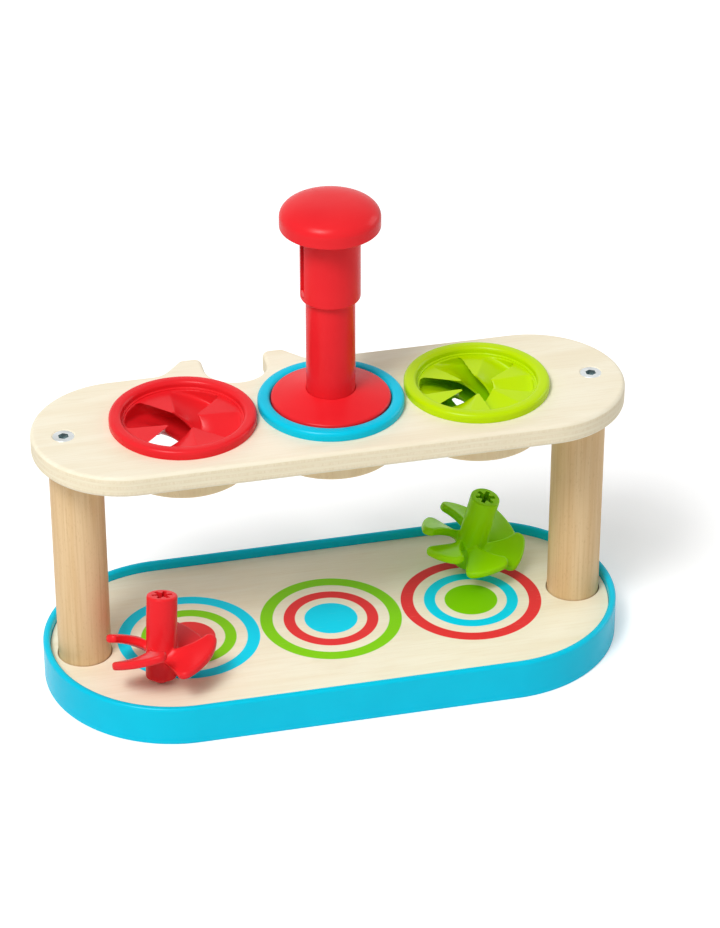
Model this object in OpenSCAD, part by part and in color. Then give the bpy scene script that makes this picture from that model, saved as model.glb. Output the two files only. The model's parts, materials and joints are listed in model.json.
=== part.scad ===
// Push-down spinning top toy: a two-legged stand with three slotted cups, a launcher that
// pushes a finned top down through a cup so that it turns, and two loose tops on the base.
// Millimetres, +Z up, X along the stand, origin on the floor under the middle of the base.

/* [Base] */
// Width of the base
base_w = 141.2; // [128:0.2:180]
// Thickness of the rim's wall
rim_wall = 3.8; // [2.4:0.1:6]
// Height of the rim above the printed panel
rim_lip = 4.8; // [2:0.1:8]
// Rounding of the rim's upper edges
rim_round = 1.7; // [0.4:0.1:2.5]
// Width of the ledge inside the rim that carries the board
ledge_w = 9; // [6:0.5:13]
// Thickness of that ledge
ledge_t = 3; // [2:0.1:5]
// Thickness of the board that the legs stand on
board_t = 11.6; // [9:0.1:18]
// Thickness of the printed panel
panel_t = 3; // [2:0.1:5]
// Width of the panel that is left between a leg's hole and its end
panel_edge = 2.8; // [1.6:0.1:12]
// Number of screws along the ledge on each long side
screw_n = 3; // [2:1:5]
// Diameter of the ledge screws
screw_d = 3.2; // [2.5:0.1:4]
// Diameter of a ledge screw's head
screw_head_d = 6; // [5:0.1:7]
// Height of a ledge screw's head
screw_head_h = 1.6; // [1.2:0.1:1.9]
// How far a ledge screw goes into the board
screw_grip = 7; // [5:0.5:8]

/* [Legs] */
// Diameter of a leg
leg_d = 28; // [24:0.5:34]
// Length of a leg between the board and the platform
leg_l = 126; // [110:0.5:160]
// Gap between a leg and the ring beside it
leg_gap = 6.9; // [3:0.1:20]
// Thread diameter of the leg bolts
bolt_d = 6; // [4:0.5:7]
// Diameter of a bolt's head
bolt_head_d = 12; // [9:0.5:13]
// Height of a bolt's head
bolt_head_h = 3.4; // [2.5:0.1:4]
// Length of a bolt below its head
bolt_l = 30; // [24:1:40]
// How far the platform bolts sit outside the legs' axes
bolt_off = 5.5; // [0:0.5:6]
// Width across the flats of a bolt's hexagon socket
hex_w = 4; // [3:0.5:5]
// Outer diameter of a threaded insert
insert_d = 9; // [8:0.5:11]
// Length of a threaded insert
insert_l = 14; // [10:1:18]

/* [Platform] */
// How far the platform reaches past the base at each end
plat_over = 0.7; // [-4:0.1:10]
// Width of the platform outside the cups' lips
plat_edge = 10.1; // [6:0.1:20]
// Thickness of the platform
plat_t = 11.7; // [9:0.1:16]
// How far the fork at the back sits from the middle between two cups
fork_off = -1.6; // [-8:0.1:8]
// Width of the fork's notch
notch_w = 33; // [28:0.5:36]
// Depth of the notch below the platform's back edge
notch_depth = 15.2; // [8:0.1:16]
// How far the horns reach behind that edge
horn_reach = 13.3; // [10:0.1:18]
// Width of a horn across its end
horn_w = 11; // [8:0.5:14]
// Spread of a horn from its end to its foot
horn_spread = 12; // [10:0.5:18]
// Rounding of the horns' corners
horn_round = 4; // [1:0.5:6]
// Fillet where a horn runs into the back edge
horn_fillet = 11; // [4:0.5:16]

/* [Cups] */
// Gap between the lips of two cups
lip_gap = 1.6; // [0.6:0.1:12]
// Width of a cup's lip
lip_w = 6.7; // [4:0.1:9]
// Height of the lip above the platform
lip_h = 5.1; // [3:0.1:8]
// Rounding of the lip's upper edges
lip_round = 2.2; // [0.5:0.1:3]
// Depth of the recess inside the lip
recess_h = 4.4; // [2.5:0.1:4.6]
// How far a cup's body reaches outside its recess
cup_step = 0.6; // [0.4:0.1:1]
// How far a cup's wall reaches below its teeth
cup_foot = 0.6; // [0.3:0.1:1]
// Depth of a cup's toothed body below the platform's top
cup_depth = 24; // [18:0.5:26]
// Width of a tooth at its point
tooth_tip_w = 1.6; // [0.8:0.1:3]
// Share of the pitch that a tooth takes at its outer end
tooth_share = 0.43; // [0.3:0.01:0.5]
// Rounding of the slots' outer corners
petal_round = 3; // [1:0.5:4]
// Turn of the red cup's teeth
red_cup_turn = 22; // [0:1:90]
// Turn of the blue cup's teeth
blue_cup_turn = 18; // [0:1:72]
// Turn of the green cup's teeth
green_cup_turn = 20; // [0:1:60]
// Wall of a ring under the platform
ring_wall = 3.3; // [2.3:0.1:5]
// Height of a ring under the platform
ring_h = 13.4; // [10:0.1:20]
// Rounding of a ring's lower outer edge
ring_round = 2.2; // [0.5:0.1:2.6]

/* [Tops] */
// Rise of the fins and slots in one full turn
lead = 60; // [56:1:72]
// Height of a top from its tip to its upper end
top_h = 49.2; // [46:0.2:56]
// Diameter of a top's stem
stem_d = 16.2; // [14:0.1:16.6]
// Height of the tip below the stem
tip_h = 3.2; // [2:0.1:4]
// Radius of the rounded tip
tip_r = 5; // [4:0.1:6]
// Outer radius of the fins
fin_r = 28.8; // [26:0.1:29]
// Height of the middle of the fins above the tip
fin_mid_z = 19.3; // [17:0.1:21]
// Thickness of a fin
fin_t = 4.4; // [3:0.1:5]
// Share of the pitch that a fin covers
fin_share = 0.76; // [0.7:0.01:0.86]
// Share of a fin's length that joins the stem, from its lower end
fin_root = 0.5; // [0.4:0.01:1]
// Rounding of a fin's outer corners
fin_corner = 5; // [3:0.5:7]
// Radius of the socket in the stem between its arms
socket_r = 3; // [2.6:0.1:3.6]
// Radius to the ends of the socket's arms
socket_arm_r = 5.4; // [4.6:0.1:6]
// Width of the socket's arms
socket_arm_w = 2.2; // [1.6:0.1:2.6]
// Depth of the socket
socket_h = 11; // [9:0.5:14]
// Lean of the red top
red_top_lean = 13.5; // [5:0.5:18]
// Place of the red top's tip along and across the base
red_top_at = [-99.9, -36.9]; // [-110:0.1:110]
// Direction in which the red top leans
red_top_dir = 70; // [0:1:359]
// Turn of the red top's fins
red_top_turn = 14; // [0:1:90]
// Lean of the green top
green_top_lean = 13.5; // [5:0.5:18]
// Place of the green top's tip along and across the base
green_top_at = [82.7, 31.3]; // [-110:0.1:110]
// Direction in which the green top leans
green_top_dir = 324; // [0:1:359]
// Turn of the green top's fins
green_top_turn = 13; // [0:1:60]

/* [Launcher] */
// Diameter of the launcher's flange
flange_d = 62.2; // [60.5:0.1:62.4]
// Height of the flange's edge
flange_edge = 4.6; // [3:0.1:7]
// Rise of the flange from its edge to the tube
flange_rise = 4.9; // [2:0.1:8]
// Wall of the flange
flange_wall = 2.2; // [1.6:0.1:3]
// Thickness of the step under the tube
step_t = 2; // [1.5:0.1:3]
// Outer diameter of the tube
tube_d = 25.4; // [24.6:0.1:25.6]
// Length of the tube
tube_l = 76; // [68:0.5:78]
// Bore of the tube round the spring
tube_bore = 20.4; // [19.6:0.1:21]
// Height of the spring's seat above the tube's foot
seat_z = 32; // [30:0.5:34]
// Thickness of the spring's seat
seat_t = 3; // [2:0.1:4]
// Outer diameter of the sleeve under the knob
sleeve_d = 31; // [29.6:0.1:32.4]
// Height of the sleeve's lower edge above the tube's foot
sleeve_z = 60.6; // [56:0.1:64]
// Length of the sleeve that shows below the knob
sleeve_l = 40.4; // [39:0.1:44]
// Rounding of the sleeve's lower edge
sleeve_round = 1.5; // [0.4:0.1:2]
// Diameter of a guide pin
pin_d = 4; // [3:0.1:5]
// Height of the slots' lower end above the sleeve's lower edge
slot_foot = 2.6; // [2:0.1:4]
// Turn of the sleeve's slots
slot_turn = 10; // [0:1:30]
// Travel of the knob
travel = 30; // [26:0.5:31]
// Diameter of the knob
knob_d = 51.5; // [46:0.1:58]
// Height of the knob's straight side
knob_side = 5; // [4:0.1:8]
// Height of the knob's dome above its side
dome_h = 10; // [8:0.1:12]
// Fullness of the dome, 2 being an ellipse
dome_full = 2.4; // [2:0.1:3]
// Thickness of the knob under the top of its dome
dome_t = 3.6; // [2.5:0.1:4.5]
// Wall of the knob
knob_wall = 2.4; // [1.6:0.1:3]
// Diameter of the push rod
rod_d = 10; // [9:0.1:11]
// Wire diameter of the return spring
wire_d = 1.4; // [1:0.1:1.8]
// Outer diameter of the return spring
spring_d = 18; // [17.4:0.1:19]
// Number of turns of the return spring
spring_n = 13; // [8:1:15]
// Diameter of the chuck's disc and of the washer above it
chuck_d = 15.6; // [13:0.1:16]
// Thickness of the chuck's disc
chuck_t = 4; // [3:0.1:5]
// Diameter of the chuck's spindle
spindle_d = 6; // [5:0.1:6.5]
// Length of the chuck's spindle
spindle_l = 12; // [8:0.5:16]
// Thickness of the thrust washer
washer_t = 2; // [1:0.1:3]

/* [Clearances] */
// Round the board and the panel in the rim
board_fit = 0.3; // [0.1:0.05:0.6]
// Round a leg in the panel
leg_fit = 0.6; // [0.3:0.05:1]
// Round a bolt, screw or insert
bolt_fit = 0.1; // [0.05:0.05:0.3]
// Round the flange in a cup's recess
flange_fit = 0.3; // [0.2:0.05:0.6]
// Between the edge of a fin and the outer end of its slot
petal_fit = 1; // [0.6:0.05:1.2]
// Between a top's stem and the points of the teeth
tooth_fit = 0.9; // [0.5:0.05:1.2]
// Between a top's stem and the launcher's bore
bore_fit = 1.3; // [0.8:0.05:1.4]
// Round a cup in the platform and its ring
cup_fit = 0.2; // [0.1:0.05:0.4]
// Between a fixed pin, rod or tube and its seat
seat_fit = 0.05; // [0.02:0.01:0.15]
// Round the chuck's spindle in the rod
spindle_fit = 0.05; // [0.02:0.01:0.1]
// Between sliding pieces of the launcher
slide_fit = 0.25; // [0.15:0.05:0.4]
// Round the star key in a top's socket
key_fit = 0.2; // [0.1:0.05:0.3]
// Between the tip of a top and the panel
tip_fit = 0.1; // [0.05:0.05:0.3]
// Between the fins of a loaded top and the flange
fin_fit = 3.8; // [1:0.1:5]

/* [Hidden] */
$fn = 96;
// a cut reaches this far past the face that it opens
over = 1;
// a fillet runs this far into the edge that it meets
sink = 0.1;

// heights of the stand
panel_z = ledge_t + board_t;
panel_top = panel_z + panel_t;
rim_h = panel_top + rim_lip;
plat_z = panel_z + leg_l;
plat_top = plat_z + plat_t;
lip_top = plat_top + lip_h;
floor_z = lip_top - recess_h;
cup_z = plat_top - cup_depth;

// cups
recess_r = flange_d / 2 + flange_fit;
lip_d = 2 * (recess_r + lip_w);
cup_pitch = lip_d + lip_gap;
cup_body_r = recess_r + cup_step;
cup_hole_r = cup_body_r + cup_fit;
petal_r = fin_r + petal_fit;
tooth_tip_r = stem_d / 2 + tooth_fit;
cup_wall_r = (petal_r + cup_body_r) / 2;
core_r = (recess_r + cup_body_r) / 2;

// lengths and widths of the stand, from the cups outwards
leg_x = cup_pitch + cup_hole_r + ring_wall + leg_gap + leg_d / 2;
well_l = 2 * (leg_x + leg_d / 2 + leg_fit + panel_edge + board_fit);
well_w = base_w - 2 * rim_wall;
base_l = well_l + 2 * rim_wall;
plat_l = base_l + 2 * plat_over;
plat_w = lip_d + 2 * plat_edge;
fork_x = fork_off - cup_pitch / 2;
notch_y = plat_w / 2 - notch_depth;
horn_y = plat_w / 2 + horn_reach;

// number of fins of the top that is loaded in the blue cup
blue_n = 5;

// launcher heights, from the floor of the cup upwards
tube_z = floor_z + step_t;
tube_top = tube_z + tube_l;
seat_at = tube_z + seat_z;
spring_z = seat_at + seat_t;
sleeve_at = tube_z + sleeve_z;
knob_z = sleeve_at + sleeve_l;
ceiling_h = knob_side + dome_h - dome_t;
ceiling_z = knob_z + ceiling_h;
slot_l = travel + pin_d + 2 * slide_fit;
slot_w = pin_d + 2 * slide_fit;
pin_z = sleeve_at + slot_foot + slide_fit + pin_d / 2;
tip_z = floor_z - fin_fit - fin_t / 2 - fin_foot_z(blue_n) - fin_rise(blue_n);
chuck_z = tip_z + top_h + key_fit;
washer_z = chuck_z + chuck_t;
rod_z = washer_z + washer_t;

// launcher radii
tube_r = tube_d / 2;
stem_bore = stem_d + 2 * bore_fit;
sleeve_r = sleeve_d / 2;
knob_r = knob_d / 2;
rod_r = rod_d / 2;
boss_wall = 2.1;
boss_h = 7;
collar_wall = 2.6;

// turn of the loaded top, with its fins in the middle of the blue cup's slots
blue_top_turn = blue_cup_turn + 180 / blue_n - 360 * (floor_z - tip_z - fin_foot_z(blue_n)) / lead;

red = [0.85, 0.10, 0.12];
blue = [0.07, 0.62, 0.80];
green = [0.58, 0.80, 0.08];
ply = [0.90, 0.84, 0.72];
dowel = [0.80, 0.64, 0.44];
steel = [0.72, 0.73, 0.75];
brass = [0.78, 0.62, 0.30];
white = [0.90, 0.90, 0.88];

// long plate outline with full round ends
module stadium(l, w) {
  square([l - w, w], center = true);
  for (s = [-1, 1])
    translate([s * (l - w) / 2, 0]) circle(d = w);
}

// section of a wall with rounded upper edges
module round_top(w, h, round) {
  r = min(round, 0.49 * w);
  square([w, h - r]);
  translate([r, 0]) square([w - 2 * r, h]);
  for (x = [r, w - r])
    translate([x, h - r]) circle(r, $fn = 32);
}

// points along an arc, and an outline from its right side
function arc(centre, r, a1, a2, n = 8) =
  [for (i = [0 : n]) let (a = a1 + (a2 - a1) * i / n) centre + r * [cos(a), sin(a)]];
function both_sides(side) =
  concat(side, [for (i = [len(side) - 1 : -1 : 0]) [-side[i][0], side[i][1]]]);

// hole for a countersunk bolt or screw that enters at z = 0 and runs upwards through a plate
module countersunk_hole(d, head_d, head_h, plate_t) {
  wide = 2 * bolt_fit;
  translate([0, 0, -over]) cylinder(d = d + wide, h = plate_t + 2 * over);
  cylinder(d1 = head_d + wide, d2 = d + wide, h = head_h);
  translate([0, 0, -over]) cylinder(d = head_d + wide, h = over);
}

module rim_section() {
  translate([base_w / 2 - rim_wall, 0]) round_top(rim_wall, rim_h, rim_round);
  translate([well_w / 2 - ledge_w, 0]) square([ledge_w + rim_wall / 2, ledge_t]);
}

function screw_places() =
  [for (s = [-1, 1], i = [0 : screw_n - 1])
    [(base_l - base_w) * (i / (screw_n - 1) - 0.5), s * (well_w - ledge_w) / 2]];

module base_rim() color(blue) difference() {
  union() {
    for (s = [-1, 1]) {
      translate([s * (base_l - base_w) / 2, 0, 0])
        rotate(s * 90 - 180) rotate_extrude(angle = 180) rim_section();
      rotate(s * 90) translate([0, (base_l - base_w) / 2, 0])
        rotate([90, 0, 0]) linear_extrude(base_l - base_w) rim_section();
    }
  }
  for (p = screw_places())
    translate([p[0], p[1], 0]) countersunk_hole(screw_d, screw_head_d, screw_head_h, ledge_t);
}

module base_board() color(ply) difference() {
  translate([0, 0, ledge_t]) linear_extrude(board_t)
    stadium(well_l - 2 * board_fit, well_w - 2 * board_fit);
  for (s = [-1, 1])
    translate([s * leg_x, 0, ledge_t]) countersunk_hole(bolt_d, bolt_head_d, bolt_head_h, board_t);
  for (p = screw_places())
    translate([p[0], p[1], ledge_t - over])
      cylinder(d = screw_d + 2 * bolt_fit, h = over + screw_grip + bolt_fit);
}

module board_screws() color(steel)
  for (p = screw_places())
    translate([p[0], p[1], 0]) {
      cylinder(d = screw_d, h = ledge_t + screw_grip);
      cylinder(d1 = screw_head_d, d2 = screw_d, h = screw_head_h);
    }

module base_panel() color(ply) translate([0, 0, panel_z]) difference() {
  linear_extrude(panel_t) stadium(well_l - 2 * board_fit, well_w - 2 * board_fit);
  for (s = [-1, 1])
    translate([s * leg_x, 0, -over]) cylinder(d = leg_d + 2 * leg_fit, h = panel_t + 2 * over);
}

// countersunk bolt with its head at z = 0 and its shank upwards
module bolt() difference() {
  union() {
    cylinder(d1 = bolt_head_d, d2 = bolt_d, h = bolt_head_h);
    cylinder(d = bolt_d, h = bolt_head_h + bolt_l);
  }
  translate([0, 0, -over]) cylinder(d = hex_w / cos(30), h = over + 0.6 * bolt_head_h, $fn = 6);
}

// insert and bolt run in one end of a leg, entering at z = 0
module leg_end_hole(plate_t) {
  translate([0, 0, -over]) cylinder(d = insert_d + 2 * bolt_fit, h = over + insert_l);
  translate([0, 0, -over])
    cylinder(d = bolt_d + 2 * bolt_fit, h = over + bolt_head_h + bolt_l - plate_t + over);
}

module insert() difference() {
  cylinder(d = insert_d, h = insert_l);
  translate([0, 0, -over]) cylinder(d = bolt_d + 2 * bolt_fit, h = insert_l + 2 * over);
}

// a piece at the foot of each leg and, upside down, one at its head
module at_leg_foot(s) translate([s * leg_x, 0, panel_z]) children();
module at_leg_head(s) translate([s * (leg_x + bolt_off), 0, plat_z]) rotate([180, 0, 0]) children();

module leg(s) color(dowel) difference() {
  translate([s * leg_x, 0, panel_z]) cylinder(d = leg_d, h = leg_l);
  at_leg_foot(s) leg_end_hole(board_t);
  at_leg_head(s) leg_end_hole(plat_t);
}
module left_leg() leg(-1);
module right_leg() leg(1);

module base_bolts() color(steel)
  for (s = [-1, 1])
    translate([s * leg_x, 0, ledge_t]) bolt();

module platform_bolts() color(steel)
  for (s = [-1, 1])
    translate([s * (leg_x + bolt_off), 0, plat_top]) rotate([180, 0, 0]) bolt();

module leg_inserts() color(brass)
  for (s = [-1, 1]) {
    at_leg_foot(s) insert();
    at_leg_head(s) insert();
  }

// plan of the platform, with the fork's two horns behind the middle line
module platform_plan() {
  tip = [notch_w / 2 + horn_w, horn_y];
  foot = [tip[0] + horn_spread, plat_w / 2 - sink];
  flank = atan2(tip[1] - foot[1], tip[0] - foot[0]);
  inwards = [cos(flank / 2), sin(flank / 2)] / sin(flank / 2);
  horns = concat(
    [[foot[0] + horn_fillet / tan(flank / 2), foot[1] - over]],
    arc(foot + horn_fillet * inwards, horn_fillet, 270, 90 + flank),
    arc(tip - horn_round * inwards, horn_round, flank - 90, 90));
  notch_end = notch_y + notch_w / 2;
  notch = concat(
    [[notch_w / 2, notch_end]],
    arc([notch_w / 2 + horn_round, horn_y + sink - horn_round], horn_round, 180, 90),
    [[notch_w / 2 + horn_round, horn_y + over]]);
  difference() {
    union() {
      stadium(plat_l, plat_w);
      translate([fork_x, 0]) polygon(both_sides(horns));
    }
    translate([fork_x, 0]) {
      translate([0, notch_end]) circle(d = notch_w);
      polygon(both_sides(notch));
    }
  }
}

module platform() color(ply) difference() {
  translate([0, 0, plat_z]) linear_extrude(plat_t) platform_plan();
  for (i = [-1, 0, 1])
    translate([i * cup_pitch, 0, plat_z - over])
      cylinder(r = cup_hole_r, h = plat_t + 2 * over);
  for (s = [-1, 1])
    translate([s * (leg_x + bolt_off), 0, plat_top]) rotate([180, 0, 0])
      countersunk_hole(bolt_d, bolt_head_d, bolt_head_h, plat_t);
}

module support_ring(i) color(dowel) translate([i * cup_pitch, 0, plat_z]) mirror([0, 0, 1])
  rotate_extrude() translate([cup_hole_r, 0]) round_top(ring_wall, ring_h, ring_round);
module left_ring() support_ring(-1);
module middle_ring() support_ring(0);
module right_ring() support_ring(1);

// plan of a cup's slots: a disc less n pointed teeth
module petals(n) {
  half = tooth_share * PI * petal_r / n;
  offset(r = petal_round, $fn = 16) offset(delta = -petal_round)
    difference() {
      circle(petal_r, $fn = 40);
      for (i = [0 : n - 1]) rotate(360 * i / n)
        polygon([[tooth_tip_r, -tooth_tip_w / 2], [petal_r + over, -half],
          [petal_r + over, half], [tooth_tip_r, tooth_tip_w / 2]]);
    }
}

module cup(i, n, turn) translate([i * cup_pitch, 0, 0]) {
  rotate_extrude() {
    translate([recess_r, plat_top]) round_top(lip_w, lip_h, lip_round);
    translate([cup_wall_r, cup_z - cup_foot])
      square([cup_body_r - cup_wall_r, (plat_top + floor_z) / 2 - cup_z + cup_foot]);
  }
  twist = 360 * (floor_z - cup_z) / lead;
  translate([0, 0, cup_z]) rotate(turn - twist)
    linear_extrude(floor_z - cup_z, twist = -twist, slices = 11, $fn = 20) difference() {
      circle(core_r, $fn = 40);
      petals(n);
    }
}
module red_cup() color(red) cup(-1, 4, red_cup_turn);
module blue_cup() color(blue) cup(0, blue_n, blue_cup_turn);
module green_cup() color(green) cup(1, 6, green_cup_turn);

// plan of the star socket, and with a negative grow of the key that fits it
module star(grow) {
  circle(socket_r + grow);
  for (a = [0, 60, 120]) rotate(a)
    square([2 * (socket_arm_r + grow), socket_arm_w + 2 * grow], center = true);
}

// rise of a fin from its lower to its upper end, on a top with n of them
function fin_rise(n) = lead * fin_share / n;

// height of the lower end of a fin
function fin_foot_z(n) = fin_mid_z - fin_rise(n) / 2;

// point on a fin: t runs from its lower to its upper end along the helix of radius r, and
// a is the direction round that helix, 90 being square to its upper side
function fin_point(n, r, share, t, a) =
  let (w = share * fin_t / 2, slope = atan(lead / (2 * PI * r)), z = t * fin_rise(n),
    angle = 360 * z / lead + w * cos(a + slope) / r * 180 / PI)
  [r * cos(angle), r * sin(angle), fin_foot_z(n) + z + w * sin(a + slope)];

// length of a fin along the helix of radius r
function fin_l(n, r) = fin_share / n * sqrt(pow(2 * PI * r, 2) + lead * lead);

// share of a fin's thickness that is left at a radius, for a round outer edge
function fin_edge(r) = sqrt(1 - pow(max(0, 1 - (fin_r - r) / (fin_t / 2)), 2));

// fin of even thickness along a helix, with round ends, outer corners and outer edge
module fin(n) {
  inner_r = stem_d / 2 - 2;
  corner_r = fin_r - fin_corner;
  steps = 5;
  // radius, share of the thickness and how far the lower and the upper end are drawn in
  stations = concat(
    [for (i = [0 : 3]) let (r = inner_r + (corner_r - inner_r) * i / 3)
      [r, 1, 0, (1 - fin_root) * min(1, (corner_r - r) / (corner_r - stem_d / 2))]],
    [for (a = [30, 50, 68, 82]) let (r = corner_r + fin_corner * sin(a))
      let (in = fin_corner * (1 - cos(a)) / fin_l(n, r)) [r, fin_edge(r), in, in]]);
  upper = concat([[0, 150], [0, 120]], [for (i = [0 : steps]) [i / steps, 90]], [[1, 60], [1, 30]]);
  half = len(upper);
  loop = concat(upper, [for (i = [half - 1 : -1 : 0]) [upper[i][0], -upper[i][1]]]);
  m = 2 * half;
  last = (len(stations) - 1) * m;
  walls = [for (i = [0 : len(stations) - 2], j = [0 : m - 1])
    let (a = i * m + j, b = i * m + (j + 1) % m)
    each [[a, b, b + m], [a, b + m, a + m]]];
  caps = [for (j = [0 : half - 2])
    let (b = j + 1, c = m - 2 - j, d = m - 1 - j)
    each [[j, c, b], [j, d, c], [last + j, last + b, last + c], [last + j, last + c, last + d]]];
  polyhedron([for (p = stations, q = loop)
    fin_point(n, p[0], p[1], p[2] + (1 - p[2] - p[3]) * q[0], q[1])], concat(walls, caps));
}

// a top standing on its tip at the origin
module spin_top(n, turn) difference() {
  union() {
    translate([0, 0, tip_r]) sphere(tip_r);
    translate([0, 0, top_h]) mirror([0, 0, 1]) rotate_extrude() intersection() {
      translate([-stem_d / 2, 0]) round_top(stem_d, top_h - tip_h, 2);
      square([stem_d, top_h]);
    }
    for (i = [0 : n - 1]) rotate(turn + 360 * i / n) fin(n);
  }
  translate([0, 0, top_h - socket_h]) linear_extrude(socket_h + over) star(0);
}

// a loose top, leaning about the middle of its tip
module loose_top(n, turn, at, lean, dir)
  translate([at[0], at[1], panel_top + tip_fit + tip_r])
    rotate(a = lean, v = [-sin(dir), cos(dir), 0])
      translate([0, 0, -tip_r]) spin_top(n, turn);
module red_top() color(red) loose_top(4, red_top_turn, red_top_at, red_top_lean, red_top_dir);
module green_top() color(green)
  loose_top(6, green_top_turn, green_top_at, green_top_lean, green_top_dir);
module blue_top() color(blue) translate([0, 0, tip_z]) spin_top(blue_n, blue_top_turn);

// height of the flange's cone above the cup's floor, at a radius
function cone_h(r) = flange_edge + flange_rise * (flange_d / 2 - r) / (flange_d / 2 - tube_r);

module launcher_flange() color(red) translate([0, 0, floor_z]) rotate_extrude() {
  edge_r = flange_d / 2;
  socket_wall_r = tube_r + seat_fit + flange_wall;
  polygon([[stem_bore / 2, 0], [socket_wall_r, 0],
    [socket_wall_r, cone_h(socket_wall_r) - flange_wall],
    [edge_r - flange_wall, cone_h(edge_r - flange_wall) - flange_wall],
    [edge_r - flange_wall, 0], [edge_r, 0], [edge_r, flange_edge],
    [tube_r + seat_fit, cone_h(tube_r + seat_fit)], [tube_r + seat_fit, step_t],
    [stem_bore / 2, step_t]]);
}

module at_slots() for (a = [0, 180]) rotate(slot_turn + a) children();

module launcher_tube() color(red) difference() {
  translate([0, 0, tube_z]) rotate_extrude()
    polygon([[stem_bore / 2, 0], [tube_r, 0], [tube_r, tube_l], [tube_bore / 2, tube_l],
      [tube_bore / 2, seat_z], [stem_bore / 2, seat_z]]);
  at_slots() translate([0, 0, pin_z]) rotate([0, 90, 0])
    cylinder(d = pin_d + 2 * seat_fit, h = sleeve_r);
}

// pins from the middle of the tube's wall to just inside the sleeve's outer face
module guide_pins() color(red) at_slots() {
  from_r = (tube_r + tube_bore / 2) / 2 - 0.5;
  translate([from_r, 0, pin_z]) rotate([0, 90, 0])
    cylinder(d = pin_d, h = sleeve_r - slide_fit - from_r);
}

module spring_seat() color(steel) translate([0, 0, seat_at]) difference() {
  cylinder(r = tube_bore / 2 - seat_fit, h = seat_t);
  translate([0, 0, -over]) cylinder(r = rod_r + slide_fit, h = seat_t + 2 * over);
}

// domed cap with a collar for the sleeve and a boss for the rod
module knob_cap() color(red) translate([0, 0, knob_z]) rotate_extrude() {
  collar_r = sleeve_r + seat_fit;
  polygon(concat(
    [[0, ceiling_h], [rod_r + seat_fit, ceiling_h], [rod_r + seat_fit, ceiling_h - boss_h],
      [rod_r + boss_wall, ceiling_h - boss_h], [rod_r + boss_wall, ceiling_h],
      [collar_r, ceiling_h], [collar_r, 0], [collar_r + collar_wall, 0],
      [collar_r + collar_wall, knob_side + knob_wall], [knob_r - knob_wall, knob_side],
      [knob_r - knob_wall, 0], [knob_r, 0]],
    [for (a = [0 : 6 : 90]) [knob_r * pow(cos(a), 2 / dome_full),
      knob_side + dome_h * pow(sin(a), 2 / dome_full)]]));
}

module knob_sleeve() color(red) difference() {
  translate([0, 0, ceiling_z]) mirror([0, 0, 1]) rotate_extrude()
    translate([tube_r + slide_fit, 0])
      round_top(sleeve_r - tube_r - slide_fit, ceiling_z - sleeve_at, sleeve_round);
  at_slots() translate([0, -slot_w / 2, sleeve_at + slot_foot]) cube([sleeve_d, slot_w, slot_l]);
}

module push_rod() color(white) translate([0, 0, rod_z]) difference() {
  cylinder(r = rod_r, h = ceiling_z - rod_z);
  translate([0, 0, -over])
    cylinder(d = spindle_d + 2 * spindle_fit, h = over + spindle_l - washer_t + spindle_fit);
}

module thrust_washer() color(steel) translate([0, 0, washer_z]) difference() {
  cylinder(d = chuck_d, h = washer_t);
  translate([0, 0, -over]) cylinder(d = spindle_d + 2 * spindle_fit, h = washer_t + 2 * over);
}

// disc with the star key below it and the spindle above it
module star_chuck() color(white) translate([0, 0, chuck_z]) {
  cylinder(d = chuck_d, h = chuck_t);
  cylinder(d = spindle_d, h = chuck_t + spindle_l);
  key_l = socket_h - 2 * key_fit;
  translate([0, 0, -key_l]) linear_extrude(key_l + over) star(-key_fit);
}

// tube of round wire along a helix, from the seat up to the knob's ceiling
spring_rings = 10 * spring_n;
spring_sides = 6;
spring_r = (spring_d - wire_d) / 2;
spring_rise = ceiling_z - spring_z - wire_d - 2 * seat_fit;

function helix_point(k) =
  [spring_r * cos(360 * spring_n * k), spring_r * sin(360 * spring_n * k),
    spring_z + seat_fit + wire_d / 2 + spring_rise * k];
spring_gap = min([for (i = [0 : spring_rings - 14], j = [i + 6 : i + 14])
  norm(helix_point(j / spring_rings) - helix_point(i / spring_rings))]) - wire_d;
echo(least_gap_between_turns_of_spring = spring_gap);
function wire_point(k, a) = helix_point(k) + wire_d / 2 *
  [cos(a) * cos(360 * spring_n * k), cos(a) * sin(360 * spring_n * k), sin(a)];

module return_spring() color(steel) {
  points = [for (i = [0 : spring_rings], j = [0 : spring_sides - 1])
    wire_point(i / spring_rings, 360 * j / spring_sides)];
  walls = [for (i = [0 : spring_rings - 1], j = [0 : spring_sides - 1])
    let (a = i * spring_sides + j, b = i * spring_sides + (j + 1) % spring_sides)
    each [[a, b, b + spring_sides], [a, b + spring_sides, a + spring_sides]]];
  last = spring_rings * spring_sides;
  ends = [for (j = [1 : spring_sides - 2])
    each [[0, j + 1, j], [last, last + j, last + j + 1]]];
  polyhedron(points, concat(walls, ends));
}

base_rim();
base_board();
board_screws();
base_panel();
left_leg();
right_leg();
base_bolts();
platform_bolts();
leg_inserts();
platform();
left_ring();
middle_ring();
right_ring();
red_cup();
blue_cup();
green_cup();
launcher_flange();
launcher_tube();
guide_pins();
spring_seat();
knob_cap();
knob_sleeve();
push_rod();
return_spring();
thrust_washer();
star_chuck();
blue_top();
red_top();
green_top();
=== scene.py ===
import json
import math

import bmesh
import bpy
from mathutils import Matrix, Vector


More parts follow.
